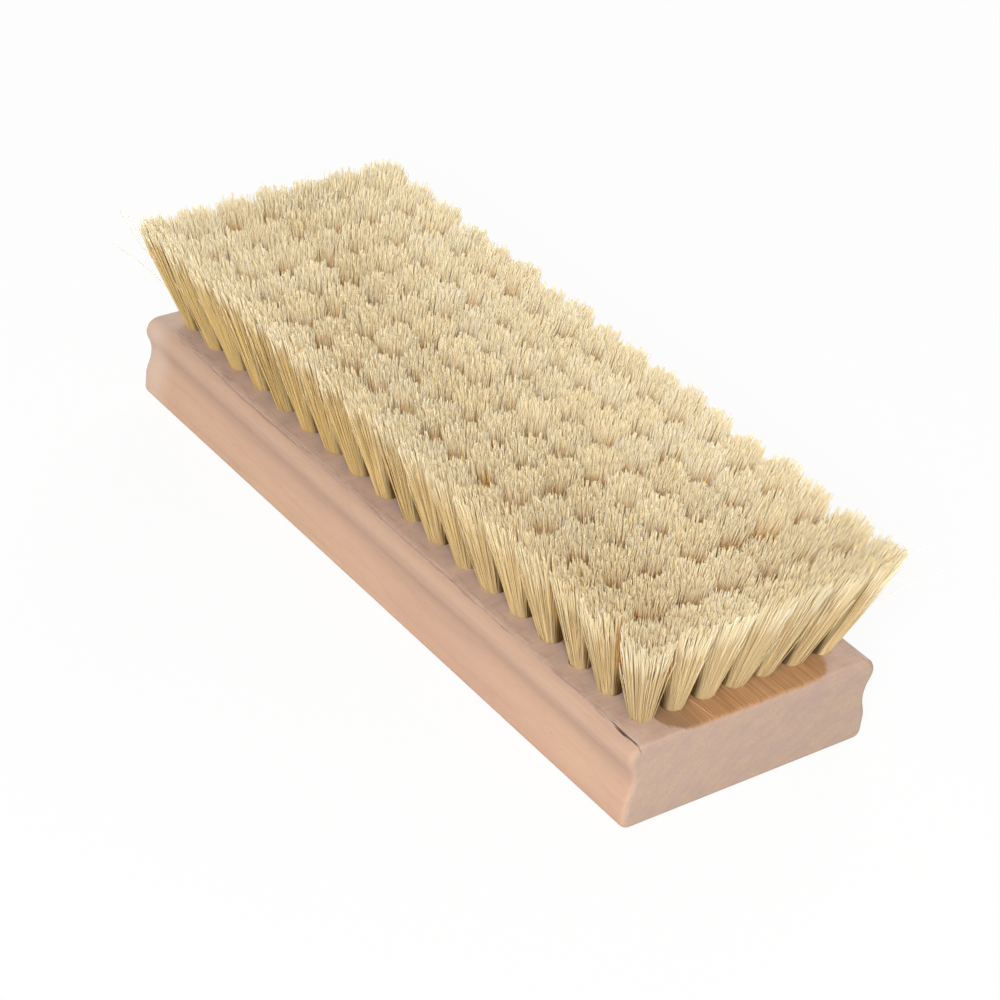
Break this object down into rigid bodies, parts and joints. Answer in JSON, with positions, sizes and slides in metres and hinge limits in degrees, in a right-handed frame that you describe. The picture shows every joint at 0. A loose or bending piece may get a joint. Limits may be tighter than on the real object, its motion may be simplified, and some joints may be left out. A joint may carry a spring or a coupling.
{
  "type": "scrub brush",
  "caption": "Wooden block scrub brush: a long hardwood block with a finger cove along each side, set with rows of flaring straw-coloured plant-fibre tufts trimmed level.",
  "frame": {"origin": "centre of the block's flat back, which lies on the ground", "axes": "+X along the block's length, +Y across it, +Z from the back towards the bristle tips"},
  "size_m": [0.207, 0.0774, 0.0516],
  "materials": {
    "hardwood": "sanded, bare",
    "plant_fibre": "matte natural fibre",
    "wire": "drawn flat wire"
  },
  "bodies": {
    "root": {"block": "hardwood", "tuft_row_01": "plant_fibre", "tuft_row_02": "plant_fibre", "tuft_row_03": "plant_fibre", "tuft_row_04": "plant_fibre", "tuft_row_05": "plant_fibre", "tuft_row_06": "plant_fibre", "tuft_row_07": "plant_fibre", "tuft_row_08": "plant_fibre", "tuft_row_09": "plant_fibre", "tuft_row_10": "plant_fibre", "tuft_row_11": "plant_fibre", "tuft_row_12": "plant_fibre", "tuft_row_13": "plant_fibre", "tuft_row_14": "plant_fibre", "tuft_row_15": "plant_fibre", "tuft_row_16": "plant_fibre", "tuft_row_17": "plant_fibre", "tuft_row_18": "plant_fibre", "anchor_row_01": "wire", "anchor_row_02": "wire", "anchor_row_03": "wire", "anchor_row_04": "wire", "anchor_row_05": "wire", "anchor_row_06": "wire", "anchor_row_07": "wire", "anchor_row_08": "wire", "anchor_row_09": "wire", "anchor_row_10": "wire", "anchor_row_11": "wire", "anchor_row_12": "wire", "anchor_row_13": "wire", "anchor_row_14": "wire", "anchor_row_15": "wire", "anchor_row_16": "wire", "anchor_row_17": "wire", "anchor_row_18": "wire"}
  },
  "joints": []
}
